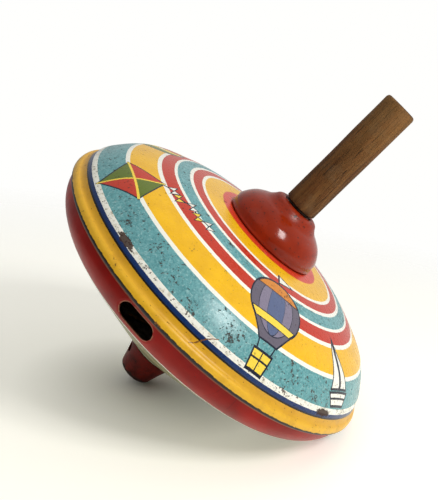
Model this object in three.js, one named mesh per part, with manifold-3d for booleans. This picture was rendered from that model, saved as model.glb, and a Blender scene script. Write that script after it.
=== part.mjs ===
// Pump-action tin humming top: two pressed tinplate shells, a domed bearing cap over a one-way
// clutch, a hollow foot with air holes that feeds a plate of brass reeds, and a wooden handle on a
// twisted flat rod. It stands upright: +Z is the spin axis and points up at the handle, and the
// origin is the centre of the foot's flat end. Millimetres.
import * as THREE from "three";
import { mergeVertices } from "three/addons/utils/BufferGeometryUtils.js";
import Module from "manifold-3d";

const wasm = await Module();
wasm.setup();

// Driving dimensions
const RIM_R = 103.6; // outside radius of the crimped rim
const RIM_Z = 78; // height of the rim's plane above the foot's end
const TIN = 0.8; // wall of the pressed shells
const GAP = 0.35; // clearance between pieces that rest on each other
const SHELL_SIDES = 56;
const SMALL_SIDES = 24;
const MIDDLE_SIDES = 36;
const HANDLE_R = 9.8;
const HANDLE_LENGTH = 74.6;
const CAP_R = 29.6;
const ROD_WIDTH = 4.2;
const ROD_THICK = 1.9;
const ROD_LEAD = 50; // height of one full twist of the rod
const PIN_Z = 160; // height of the nail that holds the rod in the handle

// Heights that follow from them
const HUB_TOP = RIM_Z + 38.4; // top of the upper shell round its centre hole
const NECK_Z = RIM_Z + 59.2; // seat of the bush, sunk in the top of the bearing cap
const SEAT_Z = HUB_TOP + GAP;
const DISC_Z = SEAT_Z + 2.85;
const WASHER_Z = NECK_Z + 1.35;
const HANDLE_Z = WASHER_Z + 0.95 + GAP;
const HANDLE_TOP = HANDLE_Z + HANDLE_LENGTH;
const REED_PLATE_Z = 30;
const STOP_Z = 9.8;

// Hum slots in the lower shell's wall and air holes in the foot
const SLOT_COUNT = 4;
const SLOT_FIRST = THREE.MathUtils.degToRad(-98.5);
const SLOT_HALF_LENGTH = 10.2;
const SLOT_HALF_HEIGHT = 4.7;
const SLOT_Z = RIM_Z - 8.1;
const AIR_HOLE_COUNT = 2;
const AIR_HOLE_FIRST = THREE.MathUtils.degToRad(-153);
const AIR_HOLE_R = 2.8;
const REED_COUNT = 5;

const finish = {
  tin_print: new THREE.MeshStandardMaterial({ color: 0xe8b21e, roughness: 0.35, metalness: 0.2 }),
  tin_red: new THREE.MeshStandardMaterial({ color: 0x8a1a18, roughness: 0.35, metalness: 0.2 }),
  cap_red: new THREE.MeshStandardMaterial({ color: 0x862a16, roughness: 0.25, metalness: 0.2 }),
  steel: new THREE.MeshStandardMaterial({ color: 0x8c8c88, roughness: 0.4, metalness: 0.9 }),
  brass: new THREE.MeshStandardMaterial({ color: 0xb08d3c, roughness: 0.35, metalness: 0.9 }),
  wood: new THREE.MeshStandardMaterial({ color: 0x644628, roughness: 0.7, metalness: 0 }),
};

// A closed surface with its shared corners merged, empty triangles dropped and faces turned out
function closed(geometry) {
  const bare = geometry.index ? geometry.clone() : geometry;
  bare.deleteAttribute("normal");
  bare.deleteAttribute("uv");
  const merged = mergeVertices(bare, 1e-4);
  const at = merged.attributes.position;
  const corner = (i) => new THREE.Vector3().fromBufferAttribute(at, i);
  const kept = [];
  let volume = 0;
  for (let i = 0; i < merged.index.count; i += 3) {
    const [a, b, c] = [0, 1, 2].map((k) => merged.index.getX(i + k));
    if (a === b || b === c || c === a) continue;
    kept.push([a, b, c]);
    volume += corner(a).dot(corner(b).cross(corner(c)));
  }
  merged.setIndex(kept.flatMap(([a, b, c]) => (volume < 0 ? [a, c, b] : [a, b, c])));
  return merged;
}

function toManifold(geometry) {
  const tidy = closed(geometry);
  const vertProperties = new Float32Array(tidy.attributes.position.array);
  const triVerts = new Uint32Array(tidy.index.array);
  return new wasm.Manifold(new wasm.Mesh({ numProp: 3, vertProperties, triVerts }));
}

function fromManifold(solid) {
  const mesh = solid.getMesh();
  const geometry = new THREE.BufferGeometry();
  const places = new Float32Array(mesh.numVert * 3);
  for (let i = 0; i < mesh.numVert; i += 1) {
    for (let k = 0; k < 3; k += 1) places[3 * i + k] = mesh.vertProperties[mesh.numProp * i + k];
  }
  geometry.setAttribute("position", new THREE.BufferAttribute(places, 3));
  geometry.setIndex([...mesh.triVerts]);
  return geometry;
}

const cut = (geometry, tools) =>
  fromManifold(tools.reduce((left, tool) => left.subtract(toManifold(tool)), toManifold(geometry)));

const join = (geometry, extras) =>
  fromManifold(extras.reduce((left, extra) => left.add(toManifold(extra)), toManifold(geometry)));

// A turned piece: [radius, height] points that close on themselves, or start and end on the axis
function turned(points, sides) {
  const first = points[0];
  const onAxis = first[0] === 0;
  const loop = onAxis ? points : [...points, first];
  const profile = loop.map(([r, z]) => new THREE.Vector2(r, z));
  return closed(new THREE.LatheGeometry(profile, sides).rotateX(Math.PI / 2));
}

// A smooth stretch of profile through a few points, as [radius, height] pairs
function swept(points, pieces) {
  const curve = new THREE.SplineCurve(points.map(([r, z]) => new THREE.Vector2(r, z)));
  return curve.getSpacedPoints(pieces).map((p) => [p.x, p.y]);
}

// The same stretch moved sideways by a distance, to its left as it is walked
function offset(points, distance) {
  return points.map((point, i) => {
    const before = points[Math.max(0, i - 1)];
    const after = points[Math.min(points.length - 1, i + 1)];
    const along = new THREE.Vector2(after[0] - before[0], after[1] - before[1]).normalize();
    return [point[0] - along.y * distance, point[1] + along.x * distance];
  });
}

const raise = (points, height) => points.map(([r, z]) => [r, z + height]);

// A prism from a flat outline that is drawn facing outwards, set across a wall at an azimuth
function radialPrism(shape, azimuth, height, from, depth) {
  const geometry = new THREE.ExtrudeGeometry(shape, { depth, bevelEnabled: false, curveSegments: 7 });
  geometry.rotateX(Math.PI / 2).rotateZ(Math.PI);
  geometry.translate(0, from, 0);
  return geometry.rotateZ(azimuth - Math.PI / 2).translate(0, 0, height);
}

// Upper shell: a stepped flange, a steep shoulder and a flatter dome, with its hem curled under
function upperShell() {
  const dome = swept(
    [
      [30, 38.0], [45.5, 36.6], [56, 35.0], [64.5, 32.8], [73, 29.4], [87.3, 22.6], [97.6, 11.6], [99.9, 6.6],
    ],
    10,
  );
  const hub = [5.4, 38.4];
  const hem = [[100.6, 4.3], [101.4, 3.4], [102.4, 3.15], [103.3, 2.2], [RIM_R, 0.8], [RIM_R, -0.6]];
  const curl = [[103.1, -1.5], [102.15, -1.8], [102.15, -1.05], [102.65, -0.85], [102.8, -0.3]];
  const hemInside = [[102.8, 0.9], [102.5, 1.7], [101.9, 2.25], [101.1, 2.5], [100, 3.5]];
  const outside = [hub, ...dome];
  const inside = offset(outside, -TIN).reverse();
  return turned(raise([...outside, ...hem, ...curl, ...hemInside, ...inside], RIM_Z), SHELL_SIDES);
}

// The lower shell's cone, from the end of its rounded wall to the hole for the foot
const CONE_TOP = [92.6, -17.4];
const CONE_END = [12.9, -60.6];

// Lower shell: a lip held by the hem, a short rounded wall with the hum slots, then a cone
function lowerShell() {
  const wall = swept([[101.8, -3], [101.2, -7], [99.4, -11], [96.5, -14.5], CONE_TOP], 6);
  const outside = [[101.85, -0.8], ...wall, [53, -39.1], CONE_END];
  const inside = offset(outside, -TIN).reverse();
  const lip = [[101.6, 1.2], [102.45, 1.2], [102.45, -0.6]];
  const body = turned(raise([...lip, ...outside, ...inside], RIM_Z), SHELL_SIDES);
  const slot = new THREE.Shape();
  const straight = SLOT_HALF_LENGTH - SLOT_HALF_HEIGHT;
  slot.absarc(straight, 0, SLOT_HALF_HEIGHT, -Math.PI / 2, Math.PI / 2, false);
  slot.absarc(-straight, 0, SLOT_HALF_HEIGHT, Math.PI / 2, 1.5 * Math.PI, false);
  const slots = Array.from({ length: SLOT_COUNT }, (_, i) =>
    radialPrism(slot, SLOT_FIRST + (i * 2 * Math.PI) / SLOT_COUNT, SLOT_Z, 92, 16),
  );
  return cut(body, slots);
}

// Bearing cap: a domed tin cap, widest just above its bottom lip, with a small round shoulder at
// the top and a sunk seat in it for the neck bush
function bearingCap() {
  const side = swept(
    [[28.8, 38.5], [CAP_R, 40.6], [28.5, 44.9], [25, 50.2], [20.8, 53.4], [17.6, 55.2], [15.3, 57.4],
     [13.9, 59.3], [12.4, 60.2], [11, 60.5]],
    6,
  );
  const outside = [...side, [9.7, 60.5], [9.2, 59.2], [4.4, 59.2]];
  const inside = offset(outside, TIN).reverse();
  return turned(raise([...outside, ...inside], RIM_Z), MIDDLE_SIDES);
}

// Neck bush: a steel eyelet that lines the hole in the cap's neck
function neckBush() {
  const under = NECK_Z - TIN - GAP;
  const over = NECK_Z + GAP;
  const profile = [
    [2.9, under - 0.8], [6, under - 0.8], [6, under], [4, under],
    [4, over], [6.5, over], [6.5, over + 0.65], [2.9, over + 0.65],
  ];
  return turned(profile, SMALL_SIDES);
}

// Thrust washer: the loose washer between the neck and the end of the handle
function thrustWasher() {
  const top = WASHER_Z + 0.95;
  return turned([[2.9, WASHER_Z], [8.4, WASHER_Z], [8.4, top], [2.9, top]], SMALL_SIDES);
}

// Clutch seat: a ring fixed on the dome under the cap, with a crown of driving dogs
function clutchSeat() {
  const ring = turned([[5.2, SEAT_Z], [24, SEAT_Z], [24, SEAT_Z + 1], [5.2, SEAT_Z + 1]], MIDDLE_SIDES);
  const dogs = Array.from({ length: 12 }, (_, i) => {
    const corners = [[-1.6, 0], [1.6, 0], [1.6, 1.7], [0.6, 1.7]];
    const dog = new THREE.Shape(corners.map((p) => new THREE.Vector2(...p)));
    return radialPrism(dog, (i * Math.PI) / 6, SEAT_Z + 0.8, 14, 8);
  });
  return join(ring, dogs);
}

// Drive disc: the clutch nut, with a slot that fits the twisted rod and a saw-toothed edge
function driveDisc() {
  const teeth = 12;
  const outline = new THREE.Shape();
  for (let i = 0; i < teeth; i += 1) {
    const start = (i * 2 * Math.PI) / teeth;
    const end = ((i + 0.8) * 2 * Math.PI) / teeth;
    const go = i === 0 ? "moveTo" : "lineTo";
    outline[go](20 * Math.cos(start), 20 * Math.sin(start));
    outline.lineTo(22.5 * Math.cos(end), 22.5 * Math.sin(end));
  }
  const [x, y] = [ROD_WIDTH / 2 + 0.4, ROD_THICK / 2 + 0.4];
  const slot = new THREE.Path([[-x, -y], [x, -y], [x, y], [-x, y]].map((p) => new THREE.Vector2(...p)));
  slot.closePath();
  outline.holes.push(slot);
  const disc = new THREE.ExtrudeGeometry(outline, { depth: 1.2, bevelEnabled: false });
  return closed(disc.rotateZ(rodTwist(DISC_Z + 0.6)).translate(0, 0, DISC_Z));
}

// Guide tube: keeps grit and the reeds off the rod, from the foot plug up to the dome
function guideTube() {
  const top = HUB_TOP - TIN - GAP;
  const profile = [
    [3.9, 3.35], [4.7, 3.35], [4.7, top - 0.8], [9, top - 0.8], [9, top], [3.9, top],
  ];
  return turned(profile, SMALL_SIDES);
}

// Foot cup: a tapered cup crimped through the lower shell's hole, with air holes near the shell
function footCup() {
  const profile = [
    [3.3, 0], [8.2, 0], [9.6, 0.5], [10.4, 1.8], [11.1, 4.2], [14.9, 18.1], [12.5, 16.8],
    [12.5, 18.8], [14.6, 19.8], [14.6, 20.6], [11.7, 19.6], [11.7, 16.0], [13.1, 15.6], [10, 4.2],
    [9.3, 2.2], [8.4, 1.2], [3.3, 1.2],
  ];
  const cup = turned(profile, MIDDLE_SIDES);
  const hole = new THREE.Shape();
  hole.absarc(0, 0, AIR_HOLE_R, 0, 2 * Math.PI, false);
  const holes = Array.from({ length: AIR_HOLE_COUNT }, (_, i) =>
    radialPrism(hole, AIR_HOLE_FIRST + (i * 2 * Math.PI) / AIR_HOLE_COUNT, 12, 7, 10),
  );
  return cut(cup, holes);
}

// Foot plug: a steel plug that closes the foot's end and centres the guide tube
function footPlug() {
  const profile = [
    [0, 0.3], [2.9, 0.3], [2.9, 1.55], [8, 1.55], [8, 3], [3.5, 3], [3.5, 8], [0, 8],
  ];
  return turned(profile, SMALL_SIDES);
}

// Reed plate: closes off the wind chamber over the foot, with one window under each reed
function reedPlate() {
  const [low, high] = [REED_PLATE_Z, REED_PLATE_Z + 1];
  const plate = turned([[5.1, low], [34.2, low], [34.2, high], [5.1, high]], MIDDLE_SIDES);
  const windows = Array.from({ length: REED_COUNT }, (_, i) =>
    new THREE.BoxGeometry(14, 3.2, 4).translate(19, 0, low).rotateZ(reedAzimuth(i)),
  );
  return cut(plate, windows);
}

const reedAzimuth = (i) => (i * 2 * Math.PI) / REED_COUNT;

// One reed: a thin brass tongue that lies over its window
function reed() {
  return closed(new THREE.BoxGeometry(19, 2.6, 0.4).translate(21, 0, REED_PLATE_Z + 1.55));
}

// Handle: a plain dowel with softened ends, bored from below for the rod and drilled for the nail
function handle() {
  const profile = [
    [0, HANDLE_Z + 30], [2.9, HANDLE_Z + 30], [2.9, HANDLE_Z], [HANDLE_R - 0.6, HANDLE_Z],
    [HANDLE_R, HANDLE_Z + 0.6], [HANDLE_R, HANDLE_TOP - 0.6], [HANDLE_R - 0.6, HANDLE_TOP], [0, HANDLE_TOP],
  ];
  return cut(turned(profile, SMALL_SIDES), [nailHole()]);
}

const nailHole = () => new THREE.CylinderGeometry(1.15, 1.15, 30, 12).translate(0, 0, PIN_Z);

// The rod's turn at a height: its wide face looks along Y where the nail goes through
const rodTwist = (z) => (2 * Math.PI * (z - PIN_Z)) / ROD_LEAD;

// Spiral rod: a flat bar twisted along its length
function spiralRod() {
  const [low, high] = [STOP_Z + 2.1, HANDLE_Z + 29];
  const [x, y] = [ROD_WIDTH / 2, ROD_THICK / 2];
  const section = new THREE.Shape([[-x, -y], [x, -y], [x, y], [-x, y]].map((p) => new THREE.Vector2(...p)));
  const steps = Math.round((high - low) / 2.6);
  const bar = new THREE.ExtrudeGeometry(section, { depth: high - low, steps, bevelEnabled: false });
  bar.translate(0, 0, low);
  const at = bar.attributes.position;
  for (let i = 0; i < at.count; i += 1) {
    const corner = new THREE.Vector3().fromBufferAttribute(at, i);
    corner.applyAxisAngle(new THREE.Vector3(0, 0, 1), rodTwist(corner.z));
    at.setXYZ(i, corner.x, corner.y, corner.z);
  }
  return cut(bar, [nailHole()]);
}

// Rod stop: a cup pressed on the rod's lower end, too wide for the drive disc's slot
function rodStop() {
  const profile = [
    [0, STOP_Z], [3.4, STOP_Z], [3.4, STOP_Z + 4.7], [2.65, STOP_Z + 4.7],
    [2.65, STOP_Z + 1.75], [0, STOP_Z + 1.75],
  ];
  return turned(profile, 24);
}

// Rod pin: the headless nail through the handle and the rod
function rodPin() {
  const length = 2 * (HANDLE_R - 0.3);
  return closed(new THREE.CylinderGeometry(0.8, 0.8, length, 12).translate(0, 0, PIN_Z));
}

const top = new THREE.Group();

function place(name, geometry, material, azimuth = 0) {
  const mesh = new THREE.Mesh(geometry, material);
  mesh.name = name;
  mesh.rotation.z = azimuth;
  top.add(mesh);
}

place("upper_shell", upperShell(), finish.tin_print);
place("lower_shell", lowerShell(), finish.tin_red);
place("bearing_cap", bearingCap(), finish.cap_red);
place("neck_bush", neckBush(), finish.steel);
place("thrust_washer", thrustWasher(), finish.steel);
place("clutch_seat", clutchSeat(), finish.steel);
place("drive_disc", driveDisc(), finish.steel);
place("guide_tube", guideTube(), finish.steel);
place("foot_cup", footCup(), finish.cap_red);
place("foot_plug", footPlug(), finish.steel);
place("reed_plate", reedPlate(), finish.steel);
for (let i = 0; i < REED_COUNT; i += 1) {
  place(`reed_${i + 1}`, reed(), finish.brass, reedAzimuth(i));
}
place("handle", handle(), finish.wood);
place("spiral_rod", spiralRod(), finish.steel);
place("rod_stop", rodStop(), finish.steel);
place("rod_pin", rodPin(), finish.steel);

export default top;
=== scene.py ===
import math

import bmesh
import bpy
from mathutils import Matrix, Vector, noise


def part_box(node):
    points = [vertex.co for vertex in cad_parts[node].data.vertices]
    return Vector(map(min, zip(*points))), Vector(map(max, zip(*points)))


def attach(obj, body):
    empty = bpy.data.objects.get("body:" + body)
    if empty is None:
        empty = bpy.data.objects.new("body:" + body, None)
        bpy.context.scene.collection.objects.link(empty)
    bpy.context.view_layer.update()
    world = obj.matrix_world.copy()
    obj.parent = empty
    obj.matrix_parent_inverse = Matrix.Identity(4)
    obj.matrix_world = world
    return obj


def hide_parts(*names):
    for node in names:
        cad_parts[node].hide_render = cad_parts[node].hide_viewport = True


# Looks of a lithographed tin humming top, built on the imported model. Profiles are [radius, height]
# pairs in millimetres; heights in the shells' profiles count from the plane of the rim.
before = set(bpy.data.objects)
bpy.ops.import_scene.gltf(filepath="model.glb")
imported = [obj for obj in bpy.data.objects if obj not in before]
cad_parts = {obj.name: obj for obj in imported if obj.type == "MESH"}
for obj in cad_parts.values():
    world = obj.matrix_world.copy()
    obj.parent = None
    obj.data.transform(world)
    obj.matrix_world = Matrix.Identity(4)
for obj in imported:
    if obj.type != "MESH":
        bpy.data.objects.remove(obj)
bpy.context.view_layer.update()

MM = 0.001
HEM_DEPTH = 1.8  # how far the curled hem reaches below the rim's plane
RIM_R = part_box("upper_shell")[1].x / MM
RIM_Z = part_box("upper_shell")[0].z / MM + HEM_DEPTH
CAP_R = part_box("bearing_cap")[1].x / MM
HANDLE_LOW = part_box("handle")[0].z / MM
HANDLE_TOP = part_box("handle")[1].z / MM
HANDLE_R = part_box("handle")[1].x / MM
WASHER = [corner.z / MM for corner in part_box("thrust_washer")]
WASHER_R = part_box("thrust_washer")[1].x / MM
BUSH = [corner.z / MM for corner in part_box("neck_bush")]
ROD = [corner.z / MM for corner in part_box("spiral_rod")]
ROD_WIDTH = 4.2
ROD_THICK = 1.9
ROD_LEAD = 50
PIN_Z = (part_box("rod_pin")[0].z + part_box("rod_pin")[1].z) / 2 / MM
PIN_LENGTH = (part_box("rod_pin")[1].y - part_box("rod_pin")[0].y) / MM

SKIN = 0.7  # wall of the pressed tin
FINE = 240  # steps round a large turned piece
FLANGE_START = 99.9  # radius at which the dome ends and the stepped flange begins
BORE_R = 2.9  # bore that the rod runs through in the handle, the washer and the bush
FOOT_CONTACT = (9.4, 0.35)  # point of the foot's outline that touches the floor
SLOT_AZIMUTHS = [math.radians(-98.5 + 90 * k) for k in range(4)]
SLOT_HALF_LENGTH = 10.2
SLOT_HALF_HEIGHT = 4.7
SLOT_Z = RIM_Z - 8.1
AIR_HOLE_AZIMUTHS = [math.radians(-153 + 180 * k) for k in range(2)]
AIR_HOLE_R = 2.8
AIR_HOLE_Z = 12


# ---------------------------------------------------------------- meshes

def spline(points, steps):
    """A Catmull-Rom curve through the points, the same curve as the CAD profiles use."""
    ends = [points[0], *points, points[-1]]
    line = []
    for a, b, c, d in zip(ends, ends[1:], ends[2:], ends[3:]):
        for k in range(steps):
            t = k / steps
            line.append(tuple(
                0.5 * (2 * q + (r - p) * t + (2 * p - 5 * q + 4 * r - s) * t * t
                       + (3 * q - p - 3 * r + s) * t ** 3)
                for p, q, r, s in zip(a, b, c, d)
            ))
    return [*line, tuple(points[-1])]


def offset(points, distance):
    """The same line moved to its left, as it is walked."""
    moved = []
    for i, (r, z) in enumerate(points):
        before = points[max(0, i - 1)]
        after = points[min(len(points) - 1, i + 1)]
        along = Vector((after[0] - before[0], after[1] - before[1])).normalized()
        moved.append((r - along.y * distance, z + along.x * distance))
    return moved


def raised(points, height):
    return [(r, z + height) for r, z in points]


def to_object(name, bm):
    bmesh.ops.recalc_face_normals(bm, faces=bm.faces)
    mesh = bpy.data.meshes.new(name)
    bm.to_mesh(mesh)
    bm.free()
    obj = bpy.data.objects.new(name, mesh)
    bpy.context.scene.collection.objects.link(obj)
    return obj


def turned(name, profile, sides, dent=0.0, seed=0.0, sharp=40):
    """A closed turned mesh. dent moves its points by up to that many millimetres, smoothly."""
    bm = bmesh.new()
    rings = []
    for r, z in profile:
        if r < 1e-6:
            rings.append([bm.verts.new((0, 0, z * MM))] * sides)
            continue
        ring = []
        for k in range(sides):
            a = 2 * math.pi * k / sides
            place = Vector((r * math.cos(a), r * math.sin(a), z))
            push = dent * noise.noise(place * 0.045 + Vector((seed, 0, 0)))
            reach = min(r - abs(dent) + push, r) if dent else r
            ring.append(bm.verts.new((reach * math.cos(a) * MM, reach * math.sin(a) * MM, z * MM)))
        rings.append(ring)
    on_axis = profile[0][0] < 1e-6
    pairs = list(zip(rings, rings[1:])) + ([] if on_axis else [(rings[-1], rings[0])])
    for low, high in pairs:
        for k in range(sides):
            n = (k + 1) % sides
            corners = list(dict.fromkeys((low[k], low[n], high[n], high[k])))
            if len(corners) > 2:
                bm.faces.new(corners)
    return shaded(to_object(name, bm), sharp)


def shaded(obj, sharp=40):
    for face in obj.data.polygons:
        face.use_smooth = True
    obj.data.set_sharp_from_angle(angle=math.radians(sharp))
    return obj


def radial_prism(outline, azimuth, height, near, far):
    """A prism across a wall: outline is (tangential, vertical) in millimetres."""
    bm = bmesh.new()
    turn = Matrix.Rotation(azimuth, 4, "Z")
    layers = [
        [bm.verts.new(turn @ Vector((depth, u, v + height)) * MM) for u, v in outline]
        for depth in (near, far)
    ]
    for k in range(len(outline)):
        n = (k + 1) % len(outline)
        bm.faces.new((layers[0][k], layers[0][n], layers[1][n], layers[1][k]))
    for layer in layers:
        bm.faces.new(layer)
    return to_object("cutter", bm)


def carved(obj, cutters, sharp=40):
    """Cuts the cutters out of a piece for good."""
    for cutter in cutters:
        cut = obj.modifiers.new("cut", "BOOLEAN")
        cut.operation = "DIFFERENCE"
        cut.solver = "EXACT"
        cut.object = cutter
    bpy.context.view_layer.update()
    mesh = bpy.data.meshes.new_from_object(obj.evaluated_get(bpy.context.evaluated_depsgraph_get()))
    obj.modifiers.clear()
    obj.data = mesh
    for cutter in cutters:
        bpy.data.objects.remove(cutter)
    return shaded(obj, sharp)


def slot_outline(half_length, half_height, steps=24):
    """A straight slot with round ends; a plain circle when both sizes are the same."""
    straight = half_length - half_height
    turns = [math.pi * (k / steps - 0.5) for k in range(steps + 1)]
    end = [(straight + half_height * math.cos(t), half_height * math.sin(t)) for t in turns]
    outline = end + [(-u, -v) for u, v in end]
    return outline if straight > 0 else outline[:steps] + outline[steps + 1:-1]


def upper_shell():
    dome = spline([
        (30, 38.0), (45.5, 36.6), (56, 35.0), (64.5, 32.8),
        (73, 29.4), (87.3, 22.6), (97.6, 11.6), (FLANGE_START, 6.6),
    ], 10)
    hem = spline([
        (FLANGE_START, 6.6), (100.3, 5.2), (100.9, 4.1), (101.6, 3.5), (102.4, 3.15),
        (103.2, 2.2), (RIM_R, 0.7), (RIM_R, -0.5), (103.1, -1.4), (102.3, -HEM_DEPTH),
    ], 6)
    outside = [(5.4, 38.4), *dome, *hem[1:]]
    curl = [
        (102.15, -1.6), (102.2, -1.1), (102.7, -0.8), (102.85, 0.6),
        (102.4, 1.8), (101.5, 2.5), (100.5, 3),
    ]
    inside = offset([(5.4, 38.4), *dome], -SKIN)[:-1][::-1]
    return turned("upper_shell_print", raised([*outside, *curl, *inside], RIM_Z), FINE)


def lower_wall():
    """The outside of the lower shell, from the lip under the hem to the hole for the foot."""
    wall = spline([(101.8, -3), (101.2, -7), (99.4, -11), (96.5, -14.5), (92.6, -17.4), (86, -21.1)], 8)
    cone = spline([(86, -21.1), (53, -39.1), (30, -51.4), (20.5, -56.5), (15.6, -59.2), (12.9, -60.6)], 6)
    return [(101.85, -0.8), *wall, *cone[1:]]


def lower_shell():
    outside = lower_wall()
    inside = offset(outside, -SKIN)[::-1]
    lip = [(101.6, 1.2), (102.45, 1.2), (102.45, -0.5)]
    shell = turned("lower_shell_print", raised([*lip, *outside, *inside], RIM_Z), FINE)
    near, far = 90, 108
    cutters = [
        radial_prism(slot_outline(SLOT_HALF_LENGTH, SLOT_HALF_HEIGHT), azimuth, SLOT_Z, near, far)
        for azimuth in SLOT_AZIMUTHS
    ]
    return carved(shell, cutters)


def bearing_cap():
    side = spline([
        (28.8, 38.5), (29.3, 39.2), (CAP_R - 0.1, 40.6), (28.5, 44.9), (25, 50.2), (20.8, 53.4),
        (17.6, 55.2), (15.3, 57.4), (13.9, 59.3), (12.4, 60.2), (11, 60.5),
    ], 7)
    outside = raised([*side, (9.9, 60.5), (9.55, 60.3), (9.2, 59.2), (4.4, 59.2)], RIM_Z)
    return turned("cap_enamel", [*outside, *offset(outside, SKIN)[::-1]], 144, dent=0.1, seed=3)


def foot_cup():
    outside = spline([
        (8.2, 0), FOOT_CONTACT, (10.2, 1.3), (10.8, 3.2), (12.1, 8.2), (14.2, 15.4), (14.9, 18.0),
    ], 6)
    crimp = [
        (14.4, 17.9), (12.5, 16.9), (12.5, 18.8), (14.6, 19.8), (14.6, 20.6), (11.7, 19.6), (11.7, 16.0),
    ]
    inside = [(13.1, 15.6), (10, 4.2), (9.3, 2.2), (8.4, 1.2), (3.3, 1.2), (3.3, 0)]
    cup = turned("foot_enamel", [*outside, *crimp, *inside], 96)
    near, far = 7, 18
    holes = [
        radial_prism(slot_outline(AIR_HOLE_R, AIR_HOLE_R), azimuth, AIR_HOLE_Z, near, far)
        for azimuth in AIR_HOLE_AZIMUTHS
    ]
    return carved(cup, holes)


def handle():
    """A sawn dowel: nearly round, with worn ends and a bore for the rod."""
    r, low, top = HANDLE_R, HANDLE_LOW, HANDLE_TOP
    bore_top = low + 30
    foot = [(r - 0.55, low), (r - 0.12, low + 0.25)]
    start, length, steps = low + 0.55, top - low - 2.25, 24
    side = [(r, start + length * k / steps) for k in range(steps + 1)]
    worn = [(r - 0.3, top - 0.8), (r - 0.8, top - 0.2), (r - 1.4, top)]
    face = [((r - 1.4) * k / 6, top) for k in range(5, -1, -1)]
    bore = [(0, bore_top), (BORE_R, bore_top), (BORE_R, low)]
    return turned("handle_wood", [*bore, *foot, *side, *worn, *face], 96, dent=0.18, seed=7, sharp=50)


def thrust_washer():
    low, high = WASHER
    edge = [
        (WASHER_R - 0.2, low), (WASHER_R, low + 0.2), (WASHER_R, high - 0.2), (WASHER_R - 0.2, high),
    ]
    return turned("washer_steel", [(BORE_R, low), *edge, (BORE_R, high)], 72)


def neck_bush():
    low, high = BUSH
    under = low + 0.8
    over = high - 0.65
    profile = [
        (BORE_R, low), (6, low), (6, under), (4, under), (4, over),
        (6.5, over), (6.4, high - 0.15), (6.0, high), (BORE_R, high),
    ]
    return turned("bush_steel", profile, 72)


def spiral_rod():
    """The flat bar, twisted about its own axis, with slightly rounded edges."""
    wide, thick, soft = ROD_WIDTH / 2, ROD_THICK / 2, 0.25
    corners = [(wide - soft, -thick), (wide, soft - thick), (wide, thick - soft), (wide - soft, thick)]
    section = corners + [(-u, -v) for u, v in corners]
    steps = 220
    bm = bmesh.new()
    rings = []
    for k in range(steps + 1):
        z = ROD[0] + (ROD[1] - ROD[0]) * k / steps
        turn = Matrix.Rotation(2 * math.pi * (z - PIN_Z) / ROD_LEAD, 4, "Z")
        rings.append([bm.verts.new((turn @ Vector((u, v, z))) * MM) for u, v in section])
    for low, high in zip(rings, rings[1:]):
        for i in range(len(section)):
            n = (i + 1) % len(section)
            bm.faces.new((low[i], low[n], high[n], high[i]))
    bm.faces.new(rings[0])
    bm.faces.new(rings[-1])
    return shaded(to_object("rod_steel", bm), 25)


def rod_pin():
    half = PIN_LENGTH / 2
    end = [(0.8, half - 0.15), (0.65, half), (0, half)]
    pin = turned("pin_steel", [(r, -z) for r, z in end[::-1]] + end, 32)
    pin.data.transform(Matrix.Translation((0, 0, PIN_Z * MM)) @ Matrix.Rotation(math.pi / 2, 4, "X"))
    return pin


# ---------------------------------------------------------------- materials

class Num:
    """A number inside a material's node tree, so that node maths reads like arithmetic."""

    def __init__(self, paint, socket):
        self.paint = paint
        self.socket = socket

    def apply(self, operation, *others):
        node = self.paint.node("ShaderNodeMath", operation=operation)
        for slot, value in zip(node.inputs, (self, *others)):
            self.paint.put(slot, value)
        return Num(self.paint, node.outputs[0])

    def __add__(self, other):
        return self.apply("ADD", other)

    __radd__ = __add__

    def __sub__(self, other):
        return self.apply("SUBTRACT", other)

    def __mul__(self, other):
        return self.apply("MULTIPLY", other)

    __rmul__ = __mul__

    def __truediv__(self, other):
        return self.apply("DIVIDE", other)

    def less(self, other):
        return self.apply("LESS_THAN", other)

    def more(self, other):
        return self.apply("GREATER_THAN", other)

    def least(self, other):
        return self.apply("MINIMUM", other)

    def most(self, other):
        return self.apply("MAXIMUM", other)

    def size(self):
        return self.apply("ABSOLUTE")

    def root(self):
        return self.apply("SQRT")

    def wave(self):
        return self.apply("SINE")

    def clamped(self):
        node = self.paint.node("ShaderNodeClamp")
        self.paint.put(node.inputs[0], self)
        return Num(self.paint, node.outputs[0])

    def ramp(self, low, high):
        """0 below low, 1 above high, and straight between them."""
        node = self.paint.node("ShaderNodeMapRange")
        for slot, value in zip(node.inputs, (self, low, high)):
            self.paint.put(slot, value)
        return Num(self.paint, node.outputs[0])


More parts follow.
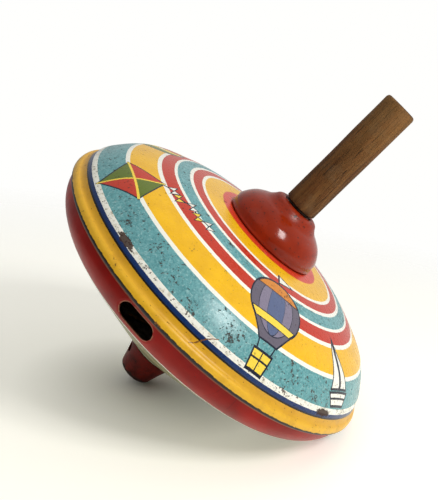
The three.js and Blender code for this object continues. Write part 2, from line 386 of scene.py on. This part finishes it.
class Paint:
    """A material under construction. Its coordinates are the piece's own, in millimetres."""

    def __init__(self, name):
        self.material = bpy.data.materials.new(name)
        self.material.use_nodes = True
        self.tree = self.material.node_tree
        self.tree.nodes.clear()
        self.shader = self.node("ShaderNodeBsdfPrincipled")
        self.output = self.node("ShaderNodeOutputMaterial")
        self.tree.links.new(self.shader.outputs[0], self.output.inputs[0])
        coords = self.node("ShaderNodeTexCoord")
        scale = self.node("ShaderNodeVectorMath", operation="SCALE")
        self.tree.links.new(coords.outputs["Object"], scale.inputs[0])
        scale.inputs["Scale"].default_value = 1 / MM
        self.place = scale.outputs[0]
        split = self.node("ShaderNodeSeparateXYZ")
        self.tree.links.new(self.place, split.inputs[0])
        self.x, self.y, self.z = (Num(self, axis) for axis in split.outputs)
        self.radius = (self.x * self.x + self.y * self.y).root()

    def node(self, kind, **settings):
        made = self.tree.nodes.new(kind)
        for key, value in settings.items():
            setattr(made, key, value)
        return made

    def put(self, slot, value):
        if isinstance(value, Num):
            self.tree.links.new(value.socket, slot)
        elif hasattr(value, "is_output"):
            self.tree.links.new(value, slot)
        elif isinstance(value, (tuple, list)) and len(value) == 3 and slot.type == "RGBA":
            slot.default_value = (*value, 1)
        else:
            slot.default_value = value

    def stretched(self, x, y, z, shift=0.0):
        """The coordinates scaled along each axis and moved, to give grain a direction."""
        node = self.node("ShaderNodeVectorMath", operation="MULTIPLY_ADD")
        self.put(node.inputs[0], self.place)
        node.inputs[1].default_value = (x, y, z)
        node.inputs[2].default_value = (shift, shift * 1.7, shift * 0.6)
        return node.outputs[0]

    def noise(self, scale, detail=2.0, rough=0.55, place=None, shift=0.0):
        node = self.node("ShaderNodeTexNoise")
        self.put(node.inputs["Vector"], place or self.stretched(1, 1, 1, shift))
        node.inputs["Scale"].default_value = scale
        node.inputs["Detail"].default_value = detail
        node.inputs["Roughness"].default_value = rough
        return Num(self, node.outputs["Fac"])

    def dots(self, scale, density, size, shift=0.0):
        """Scattered round marks of uneven size: 1 inside them. density is the share of cells marked."""
        node = self.node("ShaderNodeTexVoronoi")
        self.put(node.inputs["Vector"], self.stretched(1, 1, 1, shift))
        node.inputs["Scale"].default_value = scale
        split = self.node("ShaderNodeSeparateColor")
        self.put(split.inputs[0], node.outputs["Color"])
        chosen = (Num(self, split.outputs[0]) + density - 1).most(0).root() * size
        return Num(self, node.outputs["Distance"]).less(chosen)

    def mix(self, amount, under, over):
        node = self.node("ShaderNodeMix", data_type="RGBA")
        self.put(node.inputs[0], amount)
        self.put(node.inputs[6], under)
        self.put(node.inputs[7], over)
        return node.outputs[2]

    def bands(self, value, top, colours):
        """Hard-edged colours along a value: each starts at its own place, out of top."""
        node = self.node("ShaderNodeValToRGB")
        ramp = node.color_ramp
        ramp.interpolation = "CONSTANT"
        while len(ramp.elements) < len(colours):
            ramp.elements.new(1.0)
        for element, (start, colour) in zip(ramp.elements, colours):
            element.position = start / top
            element.color = (*colour, 1)
        self.put(node.inputs[0], value / top)
        return node.outputs[0]

    def blendband(self, value, stops):
        """Smoothly changing colour along a value from 0 to 1."""
        node = self.node("ShaderNodeValToRGB")
        while len(node.color_ramp.elements) < len(stops):
            node.color_ramp.elements.new(1.0)
        for element, (start, colour) in zip(node.color_ramp.elements, stops):
            element.position = start
            element.color = (*colour, 1)
        self.put(node.inputs[0], value)
        return node.outputs[0]

    def finish(self, colour, roughness, bump=None, depth=0.1, shine=0.5, **fixed):
        self.put(self.shader.inputs["Base Color"], colour)
        self.put(self.shader.inputs["Roughness"], roughness)
        self.shader.inputs["Specular IOR Level"].default_value = shine
        for key, value in fixed.items():
            self.shader.inputs[key.replace("_", " ").title()].default_value = value
        if bump is not None:
            node = self.node("ShaderNodeBump")
            node.inputs["Distance"].default_value = depth * MM
            self.put(node.inputs["Height"], bump)
            self.put(self.shader.inputs["Normal"], node.outputs[0])
        return self.material


def srgb(red, green, blue):
    """A linear colour from the 0 to 255 numbers that a colour picker shows."""
    parts = [c / 255 for c in (red, green, blue)]
    return tuple(c / 12.92 if c < 0.0405 else ((c + 0.055) / 1.055) ** 2.4 for c in parts)


YELLOW = srgb(238, 184, 12)
OCHRE = srgb(206, 152, 24)
FLANGE = srgb(228, 176, 38)
NAVY = srgb(16, 46, 98)
CREAM = srgb(238, 237, 226)
BLUE = srgb(106, 166, 170)
RED = srgb(188, 54, 34)
ORANGE_RED = srgb(206, 60, 34)
LACQUER = srgb(160, 22, 14)
ENAMEL = srgb(144, 39, 6)
OLIVE = srgb(140, 136, 92)
SAGE = srgb(150, 156, 132)
RUST = srgb(58, 36, 26)
BLACK = srgb(20, 18, 18)
INK = srgb(16, 26, 46)
SLATE = srgb(98, 92, 106)
GREEN = srgb(94, 112, 30)
LEMON = srgb(240, 208, 70)
ORANGE = srgb(206, 128, 40)


# Patches of denser rust on the dome: azimuth in degrees, radius, and half sizes in millimetres
RUSTY_PLACES = (
    (-91, 96.5, 7, 3), (-78, 95, 6, 3), (-110, 92, 5, 4), (-100, 94, 4, 3),
    (-45, 96, 6, 3), (-58, 96, 5, 3), (-104, 80, 2, 4), (-91, 74, 6, 2),
    (-101, 59, 4, 3), (-153, 34, 7, 5), (-83, 33, 5, 3), (-113, 103.5, 5, 3),
)


class Picture:
    """A small flat drawing printed on the dome. u runs round the top and v outwards, in
    millimetres from the spin axis, so the picture's foot is towards the rim."""

    def __init__(self, paint, colour, azimuth):
        self.paint = paint
        self.colour = colour
        c, s = math.cos(math.radians(azimuth)), math.sin(math.radians(azimuth))
        self.v = paint.x * c + paint.y * s
        self.u = paint.y * c - paint.x * s

    def disc(self, u, v, radius, stretch=1.0):
        across = (self.u - u) * stretch
        along = self.v - v
        return (across * across + along * along).root() - radius

    def shape(self, corners):
        """The inside of a convex outline, given anticlockwise."""
        worst = None
        for (u0, v0), (u1, v1) in zip(corners, corners[1:] + corners[:1]):
            length = math.hypot(u1 - u0, v1 - v0)
            nu, nv = (v1 - v0) / length, (u0 - u1) / length
            side = self.u * nu + self.v * nv - (u0 * nu + v0 * nv)
            worst = side if worst is None else worst.most(side)
        return worst

    def stroke(self, start, end, width):
        du, dv = end[0] - start[0], end[1] - start[1]
        square = du * du + dv * dv
        pu, pv = self.u - start[0], self.v - start[1]
        along = ((pu * du + pv * dv) / square).clamped()
        across, ahead = pu - along * du, pv - along * dv
        return (across * across + ahead * ahead).root() - width

    def fill(self, field, colour):
        self.colour = self.paint.mix(field.less(0), self.colour, colour)

    def band(self, top, foot):
        """The part of the drawing between two distances from the axis."""
        return (self.v - foot).most(self.v * -1 + top)

    def outlined(self, field, colour, line=0.6):
        self.fill(field - line, INK)
        self.fill(field + line * 0.4, colour)

    def line(self, start, end, colour=INK, width=0.4):
        self.fill(self.stroke(start, end, width), colour)


def draw_balloon(paint, colour, azimuth):
    """A hot-air balloon with a pennant on its crown."""
    pic = Picture(paint, colour, azimuth)
    pic.line((0, 54), (0, 45), INK, 0.5)
    pic.outlined(pic.shape([(0.4, 45), (9, 48), (0.4, 51)]), CREAM)
    for side in (-1, 1):
        pic.line((4 * side, 92), (6 * side, 84), INK, 0.35)
    envelope = pic.disc(0, 68.5, 15.5).least(pic.shape([(-13.4, 76), (13.4, 76), (5.4, 88), (-5.4, 88)]))
    pic.outlined(envelope, SLATE, 0.55)
    for reach, shade in ((10.4, srgb(126, 118, 138)), (5, srgb(86, 98, 132))):
        pic.outlined(pic.disc(0, 69.5, 15.2, 15.2 / reach).most(envelope + 0.6), shade, 0.35)
    pic.outlined(pic.band(50, 60.5).most(envelope + 0.5), ORANGE, 0.4)
    pic.outlined(pic.band(75.5, 79.5).most(envelope + 0.5), LEMON, 0.35)
    pic.outlined(pic.shape([(-5.2, 92), (5.2, 92), (4.4, 98), (-4.4, 98)]), LEMON)
    pic.line((-4.8, 94.6), (4.8, 94.6), INK, 0.3)
    pic.line((0, 92), (0, 98), INK, 0.3)
    return pic.colour


def draw_boat(paint, colour, azimuth):
    """A small white sailing boat."""
    pic = Picture(paint, colour, azimuth)
    pic.outlined(pic.shape([(-1.0, 70.5), (-0.6, 91), (-8.4, 91)]), CREAM)
    pic.outlined(pic.shape([(1.0, 73), (7.6, 91), (0.8, 91)]), CREAM)
    pic.line((0, 69), (0, 93), INK, 0.4)
    pic.outlined(pic.shape([(-9.2, 92.4), (8.8, 92.4), (6.2, 96.4), (-6.4, 96.4)]), CREAM)
    pic.line((-8.2, 94.2), (7.6, 94.2), INK, 0.35)
    return pic.colour


def draw_kite(paint, colour, azimuth):
    """A diamond kite in four colours, with a tail of bows."""
    pic = Picture(paint, colour, azimuth)
    tail = [(-1, 74), (4, 69), (10, 68), (15, 62), (22, 61), (27, 56)]
    for start, end in zip(tail, tail[1:]):
        pic.line(start, end, INK, 0.4)
    for (u, v), shade in zip(tail[1:], (CREAM, LEMON, CREAM, LEMON, CREAM)):
        for side in (-1, 1):
            bow = [(u, v), (u + 2.6 * side, v - 2.2 * side), (u + 2.6 * side, v + 2.2 * side)]
            pic.outlined(pic.shape(bow), shade, 0.35)
    top, left, foot, right = (-4, 98), (-19, 85), (-1, 72.5), (14, 87)
    middle = (-2.5, 86)
    for corners, shade in (
        ((left, middle, top), GREEN), ((middle, right, top), RED),
        ((left, foot, middle), RED), ((foot, right, middle), GREEN),
    ):
        pic.outlined(pic.shape(list(corners)), shade, 0.45)
    for start, end in ((top, foot), (left, right)):
        pic.line(start, end, LEMON, 0.5)
    return pic.colour


def draw_ball(paint, colour, azimuth):
    """A striped beach ball."""
    pic = Picture(paint, colour, azimuth)
    whole = pic.disc(0, 80, 12)
    pic.outlined(whole, CREAM, 0.5)
    for u, stretch, shade in ((-4, 1.5, RED), (4, 1.5, GREEN), (0, 3.0, LEMON)):
        pic.outlined(pic.disc(u, 80, 11.5, stretch).most(whole + 0.6), shade, 0.35)
    pic.outlined(pic.disc(0, 80, 1.8), CREAM, 0.3)
    return pic.colour


def draw_drum(paint, colour, azimuth):
    """A toy drum with crossed cords."""
    pic = Picture(paint, colour, azimuth)
    pic.outlined(pic.shape([(-11, 70), (11, 70), (11, 94), (-11, 94)]), RED, 0.5)
    for u in (-11, -3.7, 3.7):
        pic.line((u, 74), (u + 7.3, 90), CREAM, 0.45)
        pic.line((u + 7.3, 74), (u, 90), CREAM, 0.45)
    for v in (70, 90):
        pic.outlined(pic.shape([(-12, v), (12, v), (12, v + 4), (-12, v + 4)]), LEMON, 0.45)
    return pic.colour


# The printed pictures and their azimuths on the dome, in degrees
PICTURES = (
    (draw_balloon, -68), (draw_boat, -31), (draw_kite, -138), (draw_drum, 128),
    (draw_ball, 172), (draw_boat, 76), (draw_kite, 22),
)


def rusted(paint, colour, bump, specks, rust=RUST):
    """Lays pits and rust over a colour. specks says how dense they are, 0 to 1."""
    fine = paint.dots(0.6, specks * 0.35, 0.5, 3.1)
    small = paint.noise(0.55, 3, 0.7, shift=7.7) + specks * 0.1
    large = paint.noise(0.25, 4, 0.75, shift=9.4) + specks * 0.1
    mark = (fine * 0.75 + small.ramp(0.7, 0.73) + large.ramp(0.72, 0.74)).clamped()
    return paint.mix(mark * 0.88, colour, rust), bump - mark * 0.8, mark


def spot(paint, azimuth, radius, half_round, half_out):
    """How far a point is from a place on the dome: 0 at its middle and 1 at its edge."""
    pic = Picture(paint, None, azimuth)
    across = pic.u / half_round
    along = (pic.v - radius) / half_out
    return (across * across + along * along).root()


def within(value, low, high):
    return value.more(low) * value.less(high)


# Where the coloured rings of the dome start and end, in the units of printed_rings
INNER_YELLOW = (7.1, 19.9)
INNER_BLUE = (31.1, 39.6)
OUTER_YELLOW = (54.1, 73)
OUTER_BLUE = (76.0, 95.8)
OUTER_CREAM = (95.8, 99.4)
# The black ring from 102.2 up to the flange is a painted shade line in the crease where the dome steps down
# to the flange.
RINGS = (
    (0, ORANGE_RED), (INNER_YELLOW[0], YELLOW), (INNER_YELLOW[1], CREAM), (22.2, RED), (28.5, CREAM),
    (INNER_BLUE[0], BLUE), (INNER_BLUE[1], CREAM), (42.1, RED), (51, CREAM), (OUTER_YELLOW[0], YELLOW),
    (OUTER_YELLOW[1], CREAM), (OUTER_BLUE[0], BLUE), (OUTER_CREAM[0], CREAM), (OUTER_CREAM[1], NAVY),
    (102.2, BLACK),
)


def printed_rings(paint):
    """The rings and their ageing, with masks of the blue and outer cream ones. A ring's place is 10
    plus its radius less its height over the rim, which grows steadily down the dome."""
    wander = (paint.noise(0.06, 2) - 0.5) * 0.5 + (paint.noise(0.9, 2, shift=5) - 0.5) * 0.25
    down = paint.radius - (paint.z - RIM_Z)
    ring = down + 10 + wander
    colour = paint.bands(ring, 110, RINGS)
    blue = within(ring, *OUTER_BLUE) + within(ring, *INNER_BLUE)
    mottled = paint.noise(0.16, 3, 0.6, shift=12).ramp(0.35, 0.7) * 0.3
    grain = paint.noise(1.1, 3, 0.75, shift=2).ramp(0.42, 0.64) * 0.55
    colour = paint.mix(blue * (grain + mottled), colour, srgb(58, 118, 124))
    glints = paint.noise(0.8, 3, 0.75, shift=17).ramp(0.53, 0.68) * 0.45
    colour = paint.mix(blue * glints, colour, srgb(186, 220, 218))
    yellow = within(ring, *OUTER_YELLOW) + within(ring, *INNER_YELLOW)
    stained = paint.noise(0.09, 3, shift=8).ramp(0.35, 0.75) * 0.5
    colour = paint.mix(yellow * stained, colour, OCHRE)
    cream = within(ring, *OUTER_CREAM)
    yellowed = paint.noise(0.4, 3, 0.7, shift=6).ramp(0.5, 0.66) * 0.6
    return paint.mix(cream * yellowed, colour, srgb(176, 164, 134)), blue, cream


def worn_flange(paint, colour):
    """The flange outside the last ring, with painted shade on its inner part, its stains and its blackened
    lower edge, with its mask.
    """
    flange = paint.radius.more(FLANGE_START)
    colour = paint.mix(flange, colour, FLANGE)
    worn = paint.noise(0.16, 4, 0.65, shift=4).ramp(0.45, 0.72)
    # Painted shade: the inner part of the flange is darkened towards ochre, standing for shade in its
    # hollow.
    colour = paint.mix(flange * paint.radius.ramp(103.2, 101.0) * 0.7, colour, OCHRE)
    colour = paint.mix(flange * worn * 0.45, colour, srgb(182, 128, 30))
    # The flange is painted black along its lower edge, ragged by noise.
    blackened = (paint.z + paint.noise(0.3, 3, 0.7, shift=15) * 1.4).less(RIM_Z + 0.95) * flange
    return paint.mix(blackened, colour, BLACK), flange


def scratched(paint, colour):
    """Three ragged scratches near the edge of the dome."""
    scratch = Picture(paint, colour, -84)
    ragged = paint.noise(1.1, 2, shift=7) * 0.5 - 0.18
    for start, end in (((-3, 101.5), (6, 97)), ((-19, 102), (-14, 103)), ((14, 103), (27, 101))):
        scratch.fill(scratch.stroke(start, end, 0.22) + ragged, srgb(120, 74, 30))
    return scratch.colour


def litho_rings():
    """The printed upper shell: rings, pictures, flange, pits, chips and scratches."""
    paint = Paint("litho_rings")
    colour, blue, cream = printed_rings(paint)
    for draw, azimuth in PICTURES:
        colour = draw(paint, colour, azimuth)
    colour, flange = worn_flange(paint, colour)
    patchy = paint.noise(0.045, 2, shift=6).ramp(0.4, 0.6)
    specks = blue * (patchy * 0.5 + 0.3) + cream * 0.6 + flange * 0.1 + 0.22
    for place in RUSTY_PLACES:
        specks = specks + spot(paint, *place).ramp(1.0, 0.2) * 0.8
    colour, bump, mark = rusted(paint, colour, paint.noise(0.35, 2) * 0.35, specks)
    chips = spot(paint, -116, 98.2, 6.4, 1.1).least(spot(paint, -38, 98.8, 6.4, 0.9))
    chips = (chips + paint.noise(0.55, 4, 0.75, shift=30) * 1.6).less(1.7)
    colour = scratched(paint, paint.mix(chips * 0.95, colour, RUST))
    rough = 0.2 + paint.noise(0.3, 3, shift=11) * 0.16 + mark * 0.4 + chips * 0.4 + flange * 0.1
    return paint.finish(colour, rough, bump - chips * 1.2, 0.16, 0.34)


def slot_edge(paint):
    """How far a point of the wall lies outside the nearest hum slot, in millimetres."""
    nearest = None
    far_side = 99  # pushes the opposite wall out of this slot's reach
    for azimuth in SLOT_AZIMUTHS:
        c, s = math.cos(azimuth), math.sin(azimuth)
        along = ((paint.y * c - paint.x * s).size() - (SLOT_HALF_LENGTH - SLOT_HALF_HEIGHT)).most(0)
        up = paint.z - SLOT_Z
        behind = (paint.x * c + paint.y * s).less(0) * far_side
        away = (along * along + up * up).root() - SLOT_HALF_HEIGHT + behind
        nearest = away if nearest is None else nearest.least(away)
    return nearest


def litho_base():
    """The lower shell: dark red wall, cream and black lines, then olive and sage bands to the foot."""
    paint = Paint("litho_base")
    wander = (paint.noise(0.06, 2) - 0.5) * 0.5
    r = paint.radius + wander
    inner_edge, wall_edge = 92.6, 94.6
    rings = [
        (0, SAGE), (24, CREAM), (26, SAGE), (44, OLIVE), (70, CREAM), (71.5, OLIVE),
        (inner_edge, BLACK), (93.0, CREAM), (wall_edge, LACQUER),
    ]
    colour = paint.bands(r, 110, rings)
    wall = r.more(wall_edge)
    colour = paint.mix(wall * paint.noise(0.05, 3, shift=3).ramp(0.4, 0.7) * 0.6, colour, srgb(104, 14, 12))
    inner = r.less(inner_edge)
    dirt = paint.noise(0.12, 4, 0.6, shift=5).ramp(0.42, 0.7)
    colour = paint.mix(inner * dirt * 0.5, colour, srgb(104, 100, 58))
    colour, bump, mark = rusted(paint, colour, paint.noise(0.3, 2) * 0.35, inner * 0.3 + 0.12)
    # A thin dark ring, ragged by noise, is painted on the wall here; the wall's mesh has no dent.
    ring = Picture(paint, colour, -69)
    dent = ((ring.disc(0, 98, 5.5, 0.9).size() - 0.16) + paint.noise(0.7, 2, shift=2) * 0.3).less(0.06)
    colour = paint.mix(dent * 0.6, colour, srgb(70, 12, 12))
    edge = slot_edge(paint)
    bare = edge.less(0.45) * paint.noise(0.4, 2, shift=21).more(0.42)
    # Painted highlight: a thin tan band just under the hem stands for light along the lip. Round the slots
    # the same tan is bare tin.
    lip = within(paint.z, RIM_Z - 2.6, RIM_Z - 1.9)
    colour = paint.mix((bare * 0.6 + lip * 0.45).clamped(), colour, srgb(172, 128, 100))
    rough = 0.24 + paint.noise(0.3, 3, shift=9) * 0.16 + mark * 0.4
    roll = edge.ramp(1.4, 0.0) * 1.5
    return paint.finish(colour, rough, bump - roll, 0.2, 0.14)


def enamel(name, colour, dark, wear):
    """Thick glossy enamel on tin, with a few dark specks and worn patches."""
    paint = Paint(name)
    cloud = paint.noise(0.07, 3, shift=2).ramp(0.35, 0.7)
    base = paint.mix(cloud * 0.55, colour, dark)
    neck = paint.radius.ramp(18, 13)
    ripple = paint.noise(0.25, 2) * 0.25
    base, bump, mark = rusted(paint, base, ripple, neck * 0.7 + wear, BLACK)
    rough = 0.11 + paint.noise(0.35, 3, shift=4) * 0.1 + neck * 0.25
    return paint.finish(base, rough, bump, 0.1, 0.25)


def foot_paint():
    """Dark red enamel on the foot, scuffed to bare dark metal round its end."""
    paint = Paint("foot_paint")
    cloud = paint.noise(0.16, 4, 0.65, shift=2)
    base = paint.mix(cloud.ramp(0.4, 0.66) * 0.8, srgb(112, 20, 12), srgb(56, 12, 8))
    low = paint.z.ramp(5.5, 0.5)
    base, bump, mark = rusted(paint, base, cloud, 0.5 + low * 0.4)
    scuff = (low * 0.75 + cloud).more(0.98)
    base = paint.mix(scuff * 0.85, base, srgb(44, 34, 30))
    return paint.finish(base, 0.34 + cloud * 0.2 + mark * 0.3 + scuff * 0.15, bump, 0.2, 0.15)


def old_wood():
    """Stained dowel: streaky grain along its length, open pores, a crack and paler worn patches."""
    paint = Paint("old_wood")
    warp = (paint.noise(0.05, 2, shift=3) - 0.5) * 6
    bend = paint.node("ShaderNodeCombineXYZ")
    for slot, value in zip(bend.inputs, (paint.x + warp, paint.y + warp * 0.6, paint.z * 0.045)):
        paint.put(slot, value)
    broad = paint.noise(0.24, 4, 0.6, place=bend.outputs[0])
    fine = paint.noise(1.5, 4, 0.65, place=bend.outputs[0])
    tone = broad * 0.7 + fine * 0.3
    stops = (
        (0.3, srgb(68, 41, 19)), (0.44, srgb(93, 60, 30)),
        (0.57, srgb(112, 76, 40)), (0.72, srgb(136, 99, 57)),
    )
    colour = paint.blendband(tone, stops)
    ruddy = paint.noise(0.13, 3, 0.6, place=paint.stretched(1, 1, 0.35, 13)).ramp(0.5, 0.68)
    colour = paint.mix(ruddy * 0.35, colour, srgb(118, 64, 32))
    pores = paint.noise(5.2, 2, 0.6, place=paint.stretched(1, 1, 0.05, 4)).ramp(0.6, 0.7)
    colour = paint.mix(pores * 0.4, colour, srgb(48, 31, 19))
    cracks = paint.noise(0.55, 2, 0.5, place=paint.stretched(1, 1, 0.02, 11))
    crack = (cracks - 0.5).size().less(0.012) * paint.noise(0.05, 1, shift=6).more(0.46)
    colour = paint.mix(crack * 0.85, colour, srgb(28, 18, 12))
    grime = paint.noise(0.1, 4, 0.6, shift=8).ramp(0.5, 0.72)
    colour = paint.mix(grime * 0.35, colour, srgb(120, 102, 78))
    # The wood is painted paler towards the top end of the handle.
    paler_towards_top = paint.z.ramp(HANDLE_TOP - 45, HANDLE_TOP - 5)
    colour = paint.mix(paler_towards_top * 0.5, colour, srgb(148, 108, 60))
    end = paint.z.more(HANDLE_TOP - 0.3)
    rings = ((paint.radius + warp * 0.4) * 2.2).wave().ramp(-0.2, 1.0)
    colour = paint.mix(end * (0.35 + rings * 0.35), colour, srgb(60, 40, 26))
    ends = paint.z.ramp(HANDLE_TOP - 2.5, HANDLE_TOP).most(paint.z.ramp(HANDLE_LOW + 3.0, HANDLE_LOW))
    colour = paint.mix(ends * paint.noise(0.4, 3, shift=5).ramp(0.35, 0.65) * 0.5, colour, srgb(44, 30, 20))
    bump = fine * 0.6 - pores * 0.5 - crack * 1.5
    return paint.finish(colour, 0.56 + fine * 0.2 - grime * 0.05, bump, 0.22, 0.16)


def metal(name, colour, dark, rough=0.34):
    """Plain metal, dulled unevenly, with fine marks along the axis."""
    paint = Paint(name)
    dull = paint.noise(0.35, 4, 0.6)
    brush = paint.noise(2.4, 3, 0.6, place=paint.stretched(1, 1, 0.12))
    base = paint.mix(dull.ramp(0.4, 0.68) * 0.75, colour, dark)
    return paint.finish(base, rough + dull * 0.25, brush, 0.04, metallic=0.95)


def floor_paint(reach):
    """Pale floor that glows faintly, with no glow round the foot, so that painted light lightens its
    shadows; it fades out before its edge and is seen only from above.
    """
    paint = Paint("pale_floor")
    paint.finish(srgb(246, 244, 234), 0.7 + paint.noise(0.02, 2) * 0.1)
    paint.shader.inputs["Emission Color"].default_value = (1, 0.99, 0.91, 1)
    # Painted light: the floor's glow is zero round the foot and grows outwards, which paints a dark contact
    # shadow round the foot and lightens the shadows further out.
    paint.put(paint.shader.inputs["Emission Strength"], paint.radius.ramp(8, 75) * 0.3)
    clear = paint.node("ShaderNodeBsdfTransparent")
    mix = paint.node("ShaderNodeMixShader")
    geometry = paint.node("ShaderNodeNewGeometry")
    solid, gone = 0.16, 0.62
    away = paint.radius.ramp(reach / MM * solid, reach / MM * gone)
    paint.put(mix.inputs[0], away.most(Num(paint, geometry.outputs["Backfacing"])))
    paint.tree.links.new(paint.shader.outputs[0], mix.inputs[1])
    paint.tree.links.new(clear.outputs[0], mix.inputs[2])
    paint.tree.links.new(mix.outputs[0], paint.output.inputs[0])
    return paint.material


# ---------------------------------------------------------------- stage

def lying_angle():
    """How far the floor leans when the top lies on its wall and its foot, and where the foot touches."""
    foot = Vector(FOOT_CONTACT)
    touching = raised(lower_wall(), RIM_Z) + [(RIM_R, RIM_Z - 0.5)]
    lean = min(math.atan2(z - foot.y, r - foot.x) for r, z in touching if r > 40)
    return lean, foot


def make_floor():
    """The floor that the top lies on, a hair's breadth under its points of contact."""
    reach, gap = 1.1, 0.1
    lean, foot = lying_angle()
    bm = bmesh.new()
    bmesh.ops.create_circle(bm, cap_ends=True, segments=96, radius=reach)
    floor = to_object("floor", bm)
    if floor.data.polygons[0].normal.z < 0:
        floor.data.flip_normals()
    up = Vector((-math.sin(lean), 0, math.cos(lean)))
    contact = (Vector((foot.x, 0, foot.y)) - up * gap) * MM
    floor.matrix_world = Matrix.Translation(contact) @ Matrix.Rotation(-lean, 4, "Y")
    floor.data.materials.append(floor_paint(reach))


def area_light(name, direction, distance, size, power, colour=(1, 1, 1)):
    """A soft rectangular light that looks at the middle of the top."""
    light = bpy.data.lights.new(name, "AREA")
    light.shape = "RECTANGLE"
    light.size, light.size_y = size
    light.energy = power
    light.color = colour
    obj = bpy.data.objects.new(name, light)
    bpy.context.scene.collection.objects.link(obj)
    away = Vector(direction).normalized()
    obj.location = Vector((0, 0, RIM_Z * MM)) + away * distance
    obj.rotation_mode = "QUATERNION"
    obj.rotation_quaternion = away.to_track_quat("Z", "Y")


def make_world():
    """A white studio: bright behind and above the top, dim on the side it is seen from."""
    world = bpy.data.worlds.new("studio")
    world.use_nodes = True
    tree = world.node_tree
    back = tree.nodes["Background"]
    coords = tree.nodes.new("ShaderNodeTexCoord")
    facing = tree.nodes.new("ShaderNodeVectorMath")
    facing.operation = "DOT_PRODUCT"
    facing.inputs[1].default_value = Vector((0.1, 0.75, 0.65)).normalized()
    glow = tree.nodes.new("ShaderNodeMapRange")
    dim, bright = 0.07, 0.74
    for slot, value in zip(glow.inputs[1:], (-1, 1, dim, bright)):
        slot.default_value = value
    seen = tree.nodes.new("ShaderNodeLightPath")
    strength = tree.nodes.new("ShaderNodeMath")
    strength.operation = "MAXIMUM"
    tree.links.new(coords.outputs["Generated"], facing.inputs[0])
    tree.links.new(facing.outputs["Value"], glow.inputs[0])
    tree.links.new(glow.outputs[0], strength.inputs[0])
    tree.links.new(seen.outputs["Is Camera Ray"], strength.inputs[1])
    tree.links.new(strength.outputs[0], back.inputs["Strength"])
    back.inputs["Color"].default_value = (1, 1, 0.985, 1)
    bpy.context.scene.world = world
    bpy.context.scene.view_settings.view_transform = "Standard"


def make_camera():
    """The view of a top lying on its side: 18 degrees over the rim's plane, rolled by 45."""
    distance, above = 0.3976, math.radians(18.3)
    pitch, yaw, roll = math.radians(-14.15), math.radians(-0.45), math.radians(45.5)
    data = bpy.data.cameras.new("camera")
    data.sensor_width = 36
    data.lens = 50.4
    data.shift_x = -0.089
    data.shift_y = 0.001
    camera = bpy.data.objects.new("camera", data)
    bpy.context.scene.collection.objects.link(camera)
    place = Vector((0, -math.cos(above), math.sin(above))) * distance + Vector((0, 0, RIM_Z * MM))
    tilt = Matrix.Rotation(math.pi / 2 + pitch, 4, "X") @ Matrix.Rotation(roll, 4, "Z")
    camera.matrix_world = Matrix.Translation(place) @ Matrix.Rotation(yaw, 4, "Z") @ tilt
    bpy.context.scene.camera = camera


# ---------------------------------------------------------------- assembly

def fit(piece, body, node, material):
    """Gives a piece its finish and its body, and lets it stand for its CAD node."""
    piece.data.materials.clear()
    piece.data.materials.append(material)
    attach(piece, body)
    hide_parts(node)


steel = metal("dull_steel", srgb(150, 148, 142), srgb(78, 72, 66))
dark_steel = metal("dark_steel", srgb(70, 64, 58), srgb(34, 30, 28), 0.45)
brass = metal("reed_brass", srgb(186, 148, 72), srgb(112, 84, 40))

fit(upper_shell(), "top_body", "upper_shell", litho_rings())
fit(lower_shell(), "top_body", "lower_shell", litho_base())
red_enamel = enamel("cap_enamel", ENAMEL, srgb(102, 22, 6), 0.5)
fit(bearing_cap(), "top_body", "bearing_cap", red_enamel)
fit(foot_cup(), "top_body", "foot_cup", foot_paint())
fit(neck_bush(), "top_body", "neck_bush", dark_steel)
fit(thrust_washer(), "washer", "thrust_washer", dark_steel)
fit(handle(), "plunger", "handle", old_wood())
fit(spiral_rod(), "plunger", "spiral_rod", steel)
fit(rod_pin(), "plunger", "rod_pin", dark_steel)

replaced = {
    "upper_shell", "lower_shell", "bearing_cap", "foot_cup", "neck_bush", "thrust_washer",
    "handle", "spiral_rod", "rod_pin",
}
for name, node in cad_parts.items():
    if name not in replaced:
        node.data.materials.clear()
        node.data.materials.append(brass if name.startswith("reed_") and name != "reed_plate" else steel)

make_world()
make_floor()
area_light("window", (0.187, -0.403, 0.896), 0.9, (0.19, 0.3), 5.0, (1.0, 0.985, 0.96))
area_light("fill", (-0.9, -0.5, 0.7), 1.2, (0.9, 0.9), 0.8)
make_camera()
